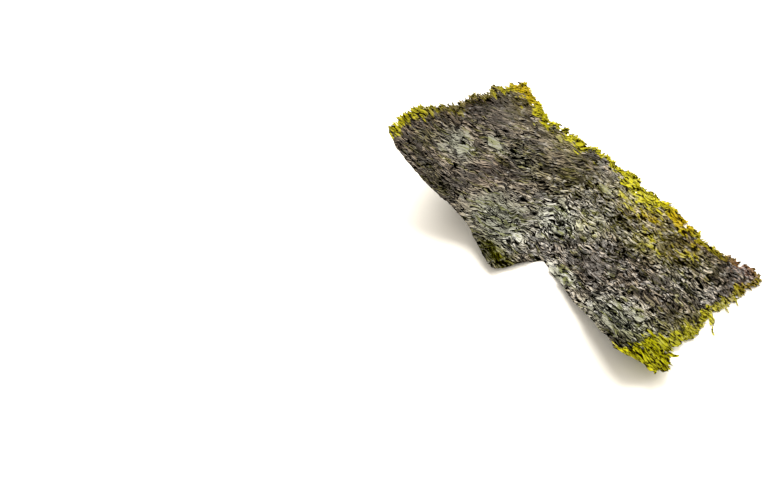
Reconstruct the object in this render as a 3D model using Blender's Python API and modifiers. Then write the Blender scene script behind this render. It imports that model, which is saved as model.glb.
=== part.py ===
"""One roasted seaweed crisp: a thin, brittle rectangle of pressed laver that lies on a table.

X runs along the sheet, Y across it and Z up, in metres. The origin is under the middle of the sheet, on
the table. The -Y side was cut by a knife and has a long splinter broken out of it. The +Y side and the two
ends are the thin, frayed border of the pressed sheet. The -X end curls up off the table.
"""

import bmesh
import bpy
import numpy as np

MM = 0.001

# The sheet before it was roasted
LENGTH = 88 * MM
WIDTH = 50 * MM
THICKNESS = 0.5 * MM
FRAYED_THICKNESS = 0.28 * MM
FRAYED_BAND = 5 * MM  # how far in from a frayed side the sheet is thinner

# Faces of the model, along and across
COLUMNS = 68
ROWS = 38

# Middle of the finished, uneven outline, measured from the middle of the square-cut sheet
OUTLINE_MIDDLE_X = 0.66 * MM
OUTLINE_MIDDLE_Y = 1.17 * MM

# The curl of the -X end: it starts at CURL_START and is highest at the corner by the cut side
CURL_START = -8 * MM
CURL_REACH = 36 * MM
CURL_HEIGHT_AT_CUT = 19 * MM
CURL_HEIGHT_AT_FRILL = 7.5 * MM
CURL_POWER = 1.5
CURL_SKEW = 1.6  # over 1, so that the curl stays high well in from the cut side

# The cut side turns up a little all along, and arches over the table towards the +X end
UPTURN_START = -9 * MM
UPTURN_REACH = 16 * MM
UPTURN_HEIGHT = 2.5 * MM
UPTURN_POWER = 1.4
ARCH_HEIGHT = 6.5 * MM
ARCH_MIDDLE = 32 * MM
ARCH_REACH = 13 * MM

# The splinter broken out of the cut side: deepest at its blunt end, running out to nothing
SPLINTER_START = -5.5 * MM
SPLINTER_DEEPEST = 2 * MM
SPLINTER_END = 37 * MM
SPLINTER_DEPTH = 13 * MM

# Shallow bays and bulges of the outline: (middle, reach, depth into the sheet)
CUT_SIDE_BAYS = [(-19 * MM, 9 * MM, 4 * MM)]
FRILL_SIDE_BAYS = [(-30 * MM, 7 * MM, 3.2 * MM), (-3 * MM, 22 * MM, -1.6 * MM), (27 * MM, 8 * MM, 2.2 * MM)]
CURLED_END_BAYS = [(-11 * MM, 9 * MM, -2.2 * MM), (24 * MM, 10 * MM, 1.8 * MM)]
FLAT_END_BAYS = [(6 * MM, 7 * MM, 0.8 * MM), (-9 * MM, 3 * MM, 1.2 * MM), (-18 * MM, 5 * MM, -4 * MM)]
CORNER_LOSS = 3.6 * MM  # the corner between the cut side and the flat end is worn off
CORNER_LOSS_START = 37 * MM

# Teeth of the torn edges: (depth, length, seed)
CUT_FRAY = (0.3 * MM, 4 * MM, 6)
FRILL_FRAY = (1.5 * MM, 3.1 * MM, 5)
FLAT_END_FRAY = (1.4 * MM, 2.9 * MM, 7)
CURLED_END_FRAY = (1.4 * MM, 3.3 * MM, 8)
FINE_TEETH = 0.4  # size of the finer teeth on them
FRAY_BAND = 7 * MM

# Relief of the pressed flakes: (size along X, size along Y, height, seed)
WAVES = [(25 * MM, 19 * MM, 1.3 * MM, 4), (11 * MM, 8 * MM, 0.6 * MM, 11)]
BLISTERS = [(6 * MM, 4.4 * MM, 0.4 * MM, 23), (3.6 * MM, 2.9 * MM, 0.25 * MM, 31)]
FOLD_HEIGHT = 0.7 * MM  # a fold that runs beside the splintered side
FOLD_OFFSET = 4.2 * MM
FOLD_WIDTH = 1.5 * MM
FOLD_RISE = 6 * MM  # length in which it rises at one end, and falls at the other
FOLD_FALL = 8 * MM
TABLE_EASE = 0.4 * MM  # waves this close to the table are pressed flatter by it
TABLE_PRESS = 1.15  # over 1, so that the deepest waves end flat on the table
CLEARANCE = 0.35 * MM  # height of the flat middle between its waves
LATTICE = 64  # random values along each way of the relief, more than the sheet needs


def smooth_step(value):
    """0 below 0, 1 above 1, and a smooth S between."""
    t = np.clip(value, 0, 1)
    return t * t * (3 - 2 * t)


def bump(along, middle, reach):
    """A bell of height 1 about the middle."""
    return np.exp(-(((along - middle) / reach) ** 2))


def patches(x, y, size_x, size_y, seed):
    """Smooth random heights from -1 to 1, from a lattice of seeded values blended by an S curve."""
    lattice = np.random.default_rng(seed).uniform(-1, 1, (LATTICE, LATTICE))
    u = x / size_x + LATTICE / 2
    v = y / size_y + LATTICE / 2
    i = np.floor(u).astype(int) % LATTICE
    j = np.floor(v).astype(int) % LATTICE
    next_i = (i + 1) % LATTICE
    next_j = (j + 1) % LATTICE
    fu = smooth_step(u - np.floor(u))
    fv = smooth_step(v - np.floor(v))
    near = lattice[i, j] * (1 - fu) + lattice[next_i, j] * fu
    far = lattice[i, next_j] * (1 - fu) + lattice[next_i, next_j] * fu
    return near * (1 - fv) + far * fv


def fray(along, depth, spacing, seed):
    """A jagged line about 0: straight runs between seeded points, with finer ones on top."""
    draw = np.random.default_rng(seed)
    knots = np.arange(-LENGTH, LENGTH, spacing)
    fine_knots = np.arange(-LENGTH, LENGTH, spacing * FINE_TEETH)
    coarse = np.interp(along, knots, draw.uniform(-depth, depth, len(knots)))
    fine = np.interp(along, fine_knots, draw.uniform(-depth, depth, len(fine_knots)))
    return coarse * (1 - FINE_TEETH) + fine * FINE_TEETH


def bays(along, spans):
    """Depth into the sheet of all the bays of one side."""
    return sum(depth * bump(along, middle, reach) for middle, reach, depth in spans)


def splinter(x):
    """Depth of the broken-out splinter: a steep blunt end, then a straight run out to nothing."""
    blunt = smooth_step((x - SPLINTER_START) / (SPLINTER_DEEPEST - SPLINTER_START))
    taper = np.clip((SPLINTER_END - x) / (SPLINTER_END - SPLINTER_DEEPEST), 0, 1)
    return SPLINTER_DEPTH * blunt * taper


def cut_side(x):
    """Y of the cut side."""
    worn = CORNER_LOSS * smooth_step((x - CORNER_LOSS_START) / (LENGTH / 2 - CORNER_LOSS_START))
    return -WIDTH / 2 + bays(x, CUT_SIDE_BAYS) + splinter(x) + worn


def frill_side(x):
    """Y of the frayed long side."""
    return WIDTH / 2 - bays(x, FRILL_SIDE_BAYS)


def curled_end(y):
    """X of the end that curls up."""
    return -LENGTH / 2 + bays(y, CURLED_END_BAYS)


def flat_end(y):
    """X of the end that lies on the table."""
    return LENGTH / 2 - bays(y, FLAT_END_BAYS)


def plan(s, t):
    """X and Y of a point of the sheet. s and t run from 0 to 1 along and across it. The outline's large
    forms stretch the whole sheet, and its fray only the band next to each side."""
    x = curled_end((t - 0.5) * WIDTH) * (1 - s) + flat_end((t - 0.5) * WIDTH) * s
    y = cut_side(x) * (1 - t) + frill_side(x) * t
    to_frill = np.clip(1 - (1 - t) * WIDTH / FRAY_BAND, 0, 1) ** 2
    to_cut = np.clip(1 - t * WIDTH / FRAY_BAND, 0, 1) ** 2
    to_curled = np.clip(1 - s * LENGTH / FRAY_BAND, 0, 1) ** 2
    to_flat = np.clip(1 - (1 - s) * LENGTH / FRAY_BAND, 0, 1) ** 2
    new_y = y + to_frill * fray(x, *FRILL_FRAY) + to_cut * fray(x, *CUT_FRAY)
    new_x = x + to_flat * fray(y, *FLAT_END_FRAY) + to_curled * fray(y, *CURLED_END_FRAY)
    return new_x, new_y


def curl(x, y):
    """Height of the large form: the curled end and the upturned, arched cut side."""
    across = np.clip(y / WIDTH + 0.5, 0, 1)
    end_height = CURL_HEIGHT_AT_CUT + (CURL_HEIGHT_AT_FRILL - CURL_HEIGHT_AT_CUT) * across**CURL_SKEW
    end = end_height * np.clip((CURL_START - x) / CURL_REACH, 0, None) ** CURL_POWER
    side_height = UPTURN_HEIGHT + ARCH_HEIGHT * bump(x, ARCH_MIDDLE, ARCH_REACH)
    side = side_height * np.clip((UPTURN_START - y) / UPTURN_REACH, 0, None) ** UPTURN_POWER
    return end + side


def relief(x, y):
    """Height of the waves, blisters and folds of the pressed flakes."""
    height = sum(high * patches(x, y, along, across, seed) for along, across, high, seed in WAVES)
    for along, across, high, seed in BLISTERS:
        height = height + high * (1 - 2 * np.abs(patches(x, y, along, across, seed)))
    beside = (y - cut_side(x) - FOLD_OFFSET) / FOLD_WIDTH
    length = smooth_step((x - SPLINTER_DEEPEST) / FOLD_RISE) * smooth_step((SPLINTER_END - x) / FOLD_FALL)
    return height + FOLD_HEIGHT * length * np.exp(-(beside**2))


def underside(x, y):
    """Height of the sheet's underside. Its waves flatten as they near the table: below TABLE_EASE the height
    falls off as an exponential to just under 0, and what would be under the table lies flat on it."""
    height = curl(x, y) + relief(x, y) + CLEARANCE
    below = np.clip(TABLE_EASE - height, 0, None)
    eased = TABLE_EASE - TABLE_PRESS * TABLE_EASE * (1 - np.exp(-below / TABLE_EASE))
    return np.maximum(np.where(below > 0, eased, height), 0)


def side_distance(x, y):
    """Distance to the nearest frayed side."""
    return np.minimum(np.minimum(x - curled_end(y), flat_end(y) - x), frill_side(x) - y)


def laver_material():
    """Oiled, roasted laver: nearly black green with a dull gloss."""
    material = bpy.data.materials.new("roasted laver")
    material.use_nodes = True
    shader = material.node_tree.nodes["Principled BSDF"]
    shader.inputs["Base Color"].default_value = (0.045, 0.05, 0.022, 1)
    shader.inputs["Roughness"].default_value = 0.4
    return material


def seaweed_sheet(collection):
    """A flat grid bent to the underside's form, split into triangles and thickened upwards."""
    mesh = bpy.data.meshes.new("seaweed_sheet")
    grid = bmesh.new()
    bmesh.ops.create_grid(grid, x_segments=COLUMNS, y_segments=ROWS, size=0.5)
    flat = np.array([vertex.co for vertex in grid.verts])
    x, y = plan(flat[:, 0] + 0.5, flat[:, 1] + 0.5)
    z = underside(x, y)
    for vertex, place in zip(grid.verts, np.stack([x - OUTLINE_MIDDLE_X, y - OUTLINE_MIDDLE_Y, z], axis=1)):
        vertex.co = place
    grid.to_mesh(mesh)
    grid.free()

    sheet = bpy.data.objects.new("seaweed_sheet", mesh)
    collection.objects.link(sheet)
    body = sheet.vertex_groups.new(name="full thickness")
    for index, share in enumerate(smooth_step(side_distance(x, y) / FRAYED_BAND)):
        body.add([index], float(share), "REPLACE")

    sheet.modifiers.new("Triangles", "TRIANGULATE")
    solid = sheet.modifiers.new("Thickness", "SOLIDIFY")
    solid.thickness = THICKNESS
    solid.offset = 1
    solid.vertex_group = body.name
    solid.thickness_vertex_group = FRAYED_THICKNESS / THICKNESS
    mesh.materials.append(laver_material())
    mesh.shade_smooth()
    return sheet


def main():
    for old in list(bpy.data.objects):
        bpy.data.objects.remove(old)
    collection = bpy.data.collections.new("seaweed crisp")
    bpy.context.scene.collection.children.link(collection)
    seaweed_sheet(collection)


main()
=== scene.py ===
"""Looks of one roasted seaweed crisp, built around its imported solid.

The sheet is pressed laver: overlapping flakes a few millimetres long, dried on a mat, oiled and roasted.
Where it is thick it is nearly black green with a dull, greasy gloss. Its borders are one or two flakes
thick, so light comes through them yellow green. X runs along the sheet, Y across it and Z up, in metres.
"""

import bpy
import numpy as np
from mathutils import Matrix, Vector


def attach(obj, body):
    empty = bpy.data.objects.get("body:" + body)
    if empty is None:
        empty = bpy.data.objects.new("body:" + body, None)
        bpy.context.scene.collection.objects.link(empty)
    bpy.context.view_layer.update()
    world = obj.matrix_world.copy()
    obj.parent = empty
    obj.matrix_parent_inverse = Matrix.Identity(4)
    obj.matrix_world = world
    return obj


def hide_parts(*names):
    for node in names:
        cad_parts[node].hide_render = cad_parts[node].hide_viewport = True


MM = 0.001

# The sheet, as in the solid
LENGTH = 88 * MM
WIDTH = 50 * MM
THICKNESS = 0.5 * MM
FRAYED_THICKNESS = 0.28 * MM
FRAYED_BAND = 5 * MM
OUTLINE_MIDDLE_X = 0.66 * MM  # the middle of the uneven outline, which lies over the origin
OUTLINE_MIDDLE_Y = 1.17 * MM

# The curl of one end, and the upturn and arch of the cut side
CURL_START = -8 * MM
CURL_REACH = 36 * MM
CURL_HEIGHT_AT_CUT = 19 * MM
CURL_HEIGHT_AT_FRILL = 7.5 * MM
CURL_POWER = 1.5
CURL_SKEW = 1.6
UPTURN_START = -9 * MM
UPTURN_REACH = 16 * MM
UPTURN_HEIGHT = 2.5 * MM
UPTURN_POWER = 1.4
ARCH_HEIGHT = 6.5 * MM
ARCH_MIDDLE = 32 * MM
ARCH_REACH = 13 * MM

# The splinter that is broken out of the cut side, the worn corner beyond it, and the bays of each side,
# as (middle, reach, depth)
SPLINTER_START = -5.5 * MM
SPLINTER_DEEPEST = 2 * MM
SPLINTER_END = 37 * MM
SPLINTER_DEPTH = 13 * MM
CORNER_LOSS = 3.6 * MM
CORNER_LOSS_START = 37 * MM
CUT_SIDE_BAYS = [(-19 * MM, 9 * MM, 4 * MM)]
FRILL_SIDE_BAYS = [
    (-30 * MM, 7 * MM, 3.2 * MM), (-3 * MM, 22 * MM, -1.6 * MM), (27 * MM, 8 * MM, 2.2 * MM),
]
CURLED_END_BAYS = [(-11 * MM, 9 * MM, -2.2 * MM), (24 * MM, 10 * MM, 1.8 * MM)]
FLAT_END_BAYS = [(6 * MM, 7 * MM, 0.8 * MM), (-9 * MM, 3 * MM, 1.2 * MM), (-18 * MM, 5 * MM, -4 * MM)]

# The teeth of each side: (depth, spacing, seed)
CUT_FRAY = (0.3 * MM, 4 * MM, 6)
FRILL_FRAY = (1.5 * MM, 3.1 * MM, 5)
FLAT_END_FRAY = (1.4 * MM, 2.9 * MM, 7)
CURLED_END_FRAY = (1.4 * MM, 3.3 * MM, 8)
FINE_TEETH = 0.4  # share of the depth, and of the spacing, that the finer teeth have

# Relief of the solid. Random patterns are (cell along, cell across, height or strength, seed)
LATTICE = 64
WAVES = [(25 * MM, 19 * MM, 1.3 * MM, 4), (11 * MM, 8 * MM, 0.6 * MM, 11)]
BLISTERS = [(6 * MM, 4.4 * MM, 0.4 * MM, 23), (3.6 * MM, 2.9 * MM, 0.25 * MM, 31)]
FOLD_HEIGHT = 0.7 * MM
FOLD_OFFSET = 4.2 * MM
FOLD_WIDTH = 1.5 * MM
FOLD_RISE = 6 * MM
FOLD_FALL = 8 * MM
TABLE_EASE = 0.4 * MM  # waves this close to the table are pressed flatter by it
TABLE_PRESS = 1.15  # over 1, so that the deepest waves end flat on the table
CLEARANCE = 0.35 * MM  # height of the flat middle between its waves

# The finer mesh of the looks
PITCH = 0.3 * MM
MARGIN = 2.5 * MM  # how far the grid reaches past the sheet before it is trimmed to the torn outline
MOVED_AT_MOST = 0.5  # share of a grid step that a point is moved to lie on the outline
GROWTH_STEPS = 8  # grid steps that the kept part grows by between two counts
SHARP_ANGLE = 1.1  # radians

# Torn edges, lace and pinholes
NIBBLES = [(1.7 * MM, 1.7 * MM, 0.75 * MM, 41), (0.7 * MM, 0.7 * MM, 0.6 * MM, 42)]
CUT_NIBBLES = [(2.2 * MM, 2.2 * MM, 0.16 * MM, 43), (0.8 * MM, 0.8 * MM, 0.1 * MM, 44)]
LACE_BAND = 3.2 * MM
LACE_SIZE = 1.1 * MM
LACE_SEED = 51
LACE_SHARE = 0.72  # how open the lace is at the very edge
LACE_CLOSED = 1.1  # added to random heights of -1 to 1, so that the body has no holes
PINHOLES = [(-22.6 * MM, 20.7 * MM, 0.35 * MM)]
EDGE_THIN = 0.45  # share of the thickness that is left at the torn outline
EDGE_TAPER = 0.7 * MM

# Width of the thin border, in millimetres, as (place along the side, width)
FRILL_BAND = [
    (-44, 5), (-34, 2.2), (-29, 2.6), (-22, 2.6), (-5, 1.6), (-3, 3.6), (0, 3.4), (12, 4), (18, 3.6),
    (27, 2), (30, 0.8), (44, 0.8),
]
FLAT_BAND = [(-25, 8), (-13, 8.5), (-9, 5), (-6, 2.2), (-1, 1.4), (1, 0.9), (18, 1.2), (25, 0.8)]
CURLED_BAND = [(-25, 1.6), (-12, 2), (-6, 1), (0, 0.8), (14, 0.8), (19, 1.6), (25, 4)]
BAND_WANDER = [(3 * MM, 1.2 * MM, 2.2, 61), (1.2 * MM, 0.5 * MM, 1.7, 62)]  # strengths in millimetres
BAND_FADE = 1.2  # millimetres over which the thin border goes over into the body

# Thin streaks inside the border, slanting across the sheet
STREAK_SLANT = 0.25
STREAK_GRAIN = [(3.2 * MM, 0.8 * MM, 1, 63), (1.4 * MM, 0.45 * MM, 0.7, 64)]
STREAK_LEVEL = 0.1
STREAK_THINNING = 0.9  # how many streaks drop out towards the rim of their zone
STREAK_CONTRAST = 2.5
STREAK_HAZE = 0.18  # how thin the sheet is between the streaks
STREAK_HAZE_GRAIN = 0.1

# Places on the sheet, in millimetres: (x, y, reach along, reach across, strength)
# Lighter and darker places: partly painted light and shade, lighter where the oiled sheet faces the lamp
# and darker in the shadows of folds, and partly the sheet's own tone
LIGHT_SHADE_AND_TONE_ZONES = [
    (-31, 2, 3, 3, 0.34), (-37, -3, 2, 2, 0.34), (-34, -9, 3, 5, 0.34), (-20, -12, 3.5, 6, 0.36),
    (-10, 0, 6, 5, 0.14), (-8, -11, 4, 3, 0.34), (0, 2, 4, 2, 0.05), (0, 9, 4, 1.4, 0.28),
    (6, 5, 3, 1.4, 0.22), (-4, 17.5, 3, 1.4, 0.35), (-15, -16, 4, 4, 0.22), (30, -17, 4, 5, -0.14),
    (31, -7, 2.4, 2.4, 0.4), (26, -9.5, 3, 2, 0.3), (35, 11, 1.6, 1.6, 0.2), (19, 12, 3, 1.5, 0.2),
    (-22, -17, 2, 3, 0.2), (5, -12, 3, 1.6, 0.05), (-42, 10, 2, 5, -0.28), (-28, -17, 3.5, 3, -0.2),
    (-17, 6, 3, 2, -0.2), (-22, 6, 3, 3, -0.12), (7, 12, 3.5, 2, -0.26), (14, 4, 5, 3, -0.26),
    (20, 6, 3, 2, -0.22), (34, 7, 4, 3, -0.24), (34, -3, 3, 2, -0.2), (15, -9, 2, 1.4, -0.3),
    (24, -13, 5, 1.2, -0.5), (32, -13, 2.2, 2, -0.5), (37, -19, 1.8, 7, -0.35), (-7, -21, 6, 3, -0.6),
    (1, -10, 2, 2, -0.3), (-25, -13, 3, 3, -0.12), (27, 13, 3, 2, -0.16), (-11, 12, 5, 2, -0.12),
    (30, 1, 5, 2, -0.1), (11, -5, 8, 4, -0.1), (-6, 13, 5, 5, -0.1), (5, 14, 8, 4, -0.1),
    (35, 17, 8, 6, -0.12), (41.5, 8, 2, 9, -0.25), (40, -3, 3, 4, -0.2), (-43.5, 2, 2, 16, -0.25),
    (20, 17, 8, 4, -0.06), (-33, -20, 5, 4, -0.22), (-26, -20, 3, 3, -0.3), (-36, -11, 3, 3, -0.15),
    (-17, -9, 5, 5, 0.24), (-4, -6, 4, 3, -0.2), (2, 13, 7, 4, -0.22), (19, -11, 5, 3, -0.24),
    (27, -13, 4, 3, -0.2), (33, -23, 2.5, 3, -0.4), (34, -17, 2, 2, 0.4), (27, 9, 5, 4, -0.35),
    (21, 17, 6, 2.5, -0.2), (24, 25, 3, 1.5, 0.4), (-21, 15, 5, 3, 0.22), (39, -8, 3, 3, 0.2),
    (-31, -3, 2, 4, 0.1), (-20, 4, 3, 4, 0.12), (-32, 12, 5, 4, 0.12),
]
# Full of crumpled flakes, or calm
LIVELY_ZONES = [
    (-14, -12, 10, 9, 1), (-5, 0, 9, 7, 1), (-35, -7, 6, 5, 0.9), (-31, 3, 4, 3, 0.9),
    (28, -14, 10, 8, 1), (9, -13, 7, 3, 1), (0, 8, 7, 4, 0.6), (-24, 5, 6, 3, 0.5), (31, 8, 9, 6, 0.4),
]
SMOOTH_ZONES = [
    (-36, 11, 7, 9, 0.9), (-26, -7, 3.5, 8, 0.9), (-21, 2, 4, 2.5, 0.8), (11, -4, 9, 4, 0.7),
    (-7, 21, 3, 2, 0.9), (-24, 14, 8, 5, 0.6), (38, 17, 5, 5, 0.3), (-14, 19, 9, 4, 0.4),
]
# Where the flecks swirl instead of lying along the sheet
SWIRL_ZONES = [(-10, -6, 15, 13, 1), (-35, -7, 7, 7, 0.7), (28, -17, 9, 5, 0.4), (2, 7, 5, 5, 0.5)]
# Colours of the body and of the thin border
VIOLET_ZONES = [
    (-26, -5, 6, 10, 0.9), (-14, 19, 8, 4, 0.6), (12, -5, 9, 5, 0.8), (34, 14, 8, 6, 0.7),
    (-38, 8, 5, 9, 0.4), (22, 5, 15, 8, 0.7),
]
GREEN_ZONES = [
    (-7, -21, 6, 3.5, 1), (14, 13, 12, 6, 0.4), (-43, -3, 2, 14, 0.5), (22, 17, 9, 5, 0.4),
    (-31, -20, 6, 2, 0.5), (-6.5, 4, 2, 1.6, 0.8), (5, 4, 2, 3, 0.7), (-21, 9, 8, 5, 0.5),
    (-40, -15, 2, 4, 0.7), (41, -14, 7, 10, 1), (-4, 17.5, 4, 2, 0.9), (-13, 9, 5, 3, 0.5),
    (-10, 14, 7, 3, 0.4), (8, 14, 10, 5, 0.4), (-32, 14, 5, 3, 0.3),
]
ORANGE_ZONES = [(-40, 23, 5, 3, 0.45), (17, 23, 5, 3, 0.6), (24, 18, 5, 2, 0.6), (11, 19, 4, 1.5, 0.5)]
BROWN_ZONES = [
    (10, 16, 12, 4, 0.4), (22, 14, 7, 3, 0.5), (-36, 19, 5, 4, 0.3), (38, 24, 9, 4, 1),
    (43, 20, 4, 5, 0.7), (-43, 0, 3, 22, 0.4), (26, 21, 6, 2, 0.6),
]
# Thin streaks, and stretches of the border that are too thick for light to come through
STREAK_ZONES = [
    (8, 19, 13, 5, 1), (17, 13, 9, 5, 0.85), (26, 17, 7, 4, 0.95), (2, 6, 4, 4, 0.3),
    (-7, -21, 5, 2.5, 0.4), (42, -2, 4, 5, 0.8), (-22, 19, 10, 3, 0.45), (-38, 19, 5, 4, 0.45),
    (-10, 13, 7, 4, 0.25),
]
DARK_BORDER_ZONES = [
    (-43.5, 2, 4, 13, 0.75), (38, 22, 8, 5, 0.6), (44, 10, 4, 7, 0.55), (43, -3, 4, 6, 0.4),
    (-20, 22, 7, 2, 0.2),
]

# How the zones make the numbers that the finish reads
TONE_BASE = 0.43
# painted sheen: lively places are made a little lighter
SHEEN_TONE_OF_LIVELY = 0.06
TONE_DRIFT = 0.05
DRIFT = [(6 * MM, 3.5 * MM, 1, 91), (2.6 * MM, 1.5 * MM, 0.7, 92)]
CLUMPS = [(1.5 * MM, 0.9 * MM, 0.35, 94)]  # light and dark clumps in the thin border
# by the splinter, a lighter strip along the broken edge and a painted shadow beyond the fold
EDGE_STRIP_AND_FOLD_SHADOW = [(2 * MM, 1.6 * MM, 0.22), (5.4 * MM, 0.6 * MM, -0.4)]  # by the splinter: middle, reach, tone
STRIP_WANDER = [(3 * MM, 3 * MM, 0.5 * MM, 93)]
LIFE_BASE = 0.75
LIFE_OF_LIVELY = 0.75
LIFE_OF_SMOOTH = -0.45
ROUGH_BASE = 0.26
ROUGH_OF_SMOOTH = 0.2
ROUGH_OF_LIVELY = -0.06
# painted sheen: lively places take a blue-tinged grey share, and lose most of their violet under it
SHEEN_OF_LIVELY = 1.3
SHEEN_FROM = 0.1
VIOLET_OF_CALM = 0.6
VIOLET_LOST_IN_SHEEN = 0.8

# Fine relief of the sheet: flakes are (length, width, tilt, seed), and the height of a wrinkle is in
# millimetres
WARP_X = [(3.1 * MM, 3.1 * MM, 0.8 * MM, 71)]
WARP_Y = [(3.1 * MM, 3.1 * MM, 0.8 * MM, 72)]
LARGE_FLAKES = (3.6 * MM, 2.2 * MM, 0.1, 73)
SMALL_FLAKES = (1.5 * MM, 0.9 * MM, 0.12, 74)
WRINKLES = [(2.1 * MM, 1 * MM, 0.1, 75), (1.1 * MM, 0.6 * MM, 0.07, 76)]
RELIEF_LIFE = (0.3, 0.8)
TONE_OF_FLAKE = 0.1
# painted light on the rises of the fine relief and painted shade in its dips
RELIEF_LIGHT_AND_SHADE = 0.2
RELIEF_SEEN = 0.3  # millimetres, past which a rise or dip gets no lighter or darker

# Broad flakes that stand out: (x, y, half length, half width, turn, tone), in millimetres and radians.
# Their light tone is partly a painted sheen
PLATES = [
    (-31, 3, 2.4, 1.8, 0.3, 0.98), (-34.5, -7, 2.4, 2, 0.9, 0.94), (-37, -3, 1.4, 1.1, 0.4, 0.92),
    (-8.5, 6, 1.8, 0.9, -0.2, 0.7), (-19, -7, 2.2, 1, 0.8, 0.74), (-20, -13, 1.8, 1.4, 0.2, 0.78),
    (-8.5, -11.5, 2, 1.3, -0.1, 0.66), (-3, -2, 2.6, 1.4, -0.3, 0.52), (0, 3, 2, 1, -0.5, 0.48),
    (2, 8.5, 3, 0.9, -0.5, 0.72), (-4, 17.5, 2.6, 0.9, 0.1, 0.74), (6, -12.4, 2.6, 1.4, -0.4, 0.76),
    (11, -14.4, 2.2, 1, -0.3, 0.74), (31.5, -8.5, 2, 1.8, 0.9, 0.8), (26, -9.8, 1.8, 1.3, 0.1, 0.76),
    (29, -18.5, 3.6, 0.8, -0.6, 0.74), (23, -17.5, 3.4, 0.8, -0.5, 0.74),
    (33, -20.5, 3, 0.8, -0.8, 0.72), (-22, 19.5, 1.8, 1, 0.2, 0.6), (17, -3, 1.6, 1.3, 0.3, 0.45),
    (-36, -12, 2, 1, 1.2, 0.72), (-17, -17, 2.4, 1.2, 0.3, 0.7), (-13, -4, 2.2, 1, 0.6, 0.66),
    (-5, -7, 2, 0.9, -0.4, 0.68),
]
PLATE_SHEEN_TONE = 0.14
PLATE_LIFE = 0.35
PLATE_ROUGH = 0.25

# Random flakes pressed on the sheet, with half lengths in millimetres and angles in radians
FLAKE_SEED = 101
FLAKES_DRAWN = 9000
FLAKES_KEPT = 300
FLAKES_ENLARGED = 200
FLAKE_ENLARGED = 1.6  # how much larger these are than the rest
FLAKE_REACH_X = 3 * MM  # how far past the flat end their middles are drawn
FLAKE_REACH_Y = 2 * MM  # the same past the frayed side
FLAKE_CHANCE = 0.25
FLAKE_CHANCE_LIVELY = 0.75
FLAKE_LOSS_SMOOTH = 0.9
FLAKE_INSET = 0.8 * MM
FLAKE_HALF_LENGTH = (0.4, 1.3)
FLAKE_SLIMNESS = (0.35, 0.7)
FLAKE_SWIRL = [(7 * MM, 5 * MM, 1, 81)]
FLAKE_SWIRL_CALM = 0.4
FLAKE_SWIRL_LIVELY = 1.5
FLAKE_TURN = 0.3
FLAKE_TONE = 0.05
FLAKE_TONE_LIVELY = 0.14
FLAKE_LIFE = (0.3, 0.9)
FLAKE_GRID = (7, 5)

# Long shreds and hairs at the border: (x, y, half length, half width, turn), in millimetres and radians
HAIRS = [
    (44, 4.7, 1.9, 0.7, -0.9), (46.3, 2.3, 2.3, 0.22, -0.8), (44.6, 13.7, 1.5, 0.25, -0.6),
    (43.9, 19.7, 1.2, 0.35, -0.4), (44.4, 10.1, 1.4, 0.3, -0.5), (42.8, -8.4, 1.6, 1, 0.4),
    (45.4, -12, 1.7, 0.8, 0.4), (46.2, -19.8, 1.5, 0.5, -0.7), (29.1, 23.5, 1.6, 0.12, 2.6),
    (9, 25, 1.8, 0.16, 1.2),
]
HAIR_TONE = 0.5

# Random shreds that stick out of the frayed sides
SHRED_SEED = 111
SHREDS_DRAWN = 60000  # about 2,000 of them are at the border with their root in the sheet, and are kept
OUTWARD = (np.pi / 2, 0, np.pi)  # direction out of the frayed side, the flat end and the curled end
SHRED_TURN = 0.8
SHRED_HALF_LENGTH = (0.25, 0.9)
SHRED_HALF_WIDTH = (0.06, 0.28)
SHRED_ROOT = 0.6  # share of the half length, back from the middle, that is held by the sheet
SHRED_ROOT_DEPTH = 0.1 * MM
SHRED_OUTERMOST = -0.3 * MM
SHRED_INNERMOST = 1.1 * MM
SHRED_FROM_CUT = 1 * MM
SHRED_THIN = 0.4
SHRED_TONE = (0.1, 1)
SHRED_GRID = (4, 3)

# The form of every loose flake and shred, with heights in millimetres
FLAKE_BODY = 0.05 * MM
FLAKE_ABOVE = 0.1 * MM  # height of its upper face over the sheet's
RIM_WAVES = (2, 3, 5)  # waves of its outline in one turn
RIM_WAVE_DEPTH = 0.2
ONE_TURN = 6.28  # radians
FLAKE_BEND = 0.2
FLAKE_TILT = 0.13
RIM_LIFT = (0.03, 0.06)  # mean and spread
FLAKE_LIFT = (0, 0.15)

# The finish. Scales are noise cells a metre, along, across and up, so a cell is 1000 over that in
# millimetres. Levels are the values of a noise from which, and up to which, its pattern shows.
SWAY_SCALE = 260.0  # cells of 3.8 mm
SWAY_CALM = 0.0015  # metres
SWAY_SWIRLING = 0.005
ASKEW_FROM = 0.01  # metres past the middle, towards the curled end
ASKEW_SLOPE = -0.8
WRINKLE_SCALE = (340, 1150, 200)  # wrinkles 2.9 mm long and 0.9 mm apart
WRINKLE_DETAIL = 1.5
WRINKLE_LEVELS = (0.4, 0.52)
STROKE_SCALE = (800, 3200, 300)  # scratches 1.3 mm long and 0.3 mm apart
STROKE_LEVELS = (0.38, 0.6)
BROAD_SCALE = (300, 500, 100)  # lighter and darker stretches of 3.3 by 2 mm
BROAD_LEVELS = (0.38, 0.62)
FLECK_SCALE = (330, 1250, 200)  # flecks 3 mm long and 0.8 mm wide
# the thin gaps between flecks are painted shade
FLECK_GAP_SHADE = (0.02, 0.16)  # share of a fleck's size from its edge
FACET_HEIGHT = 0.5
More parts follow.
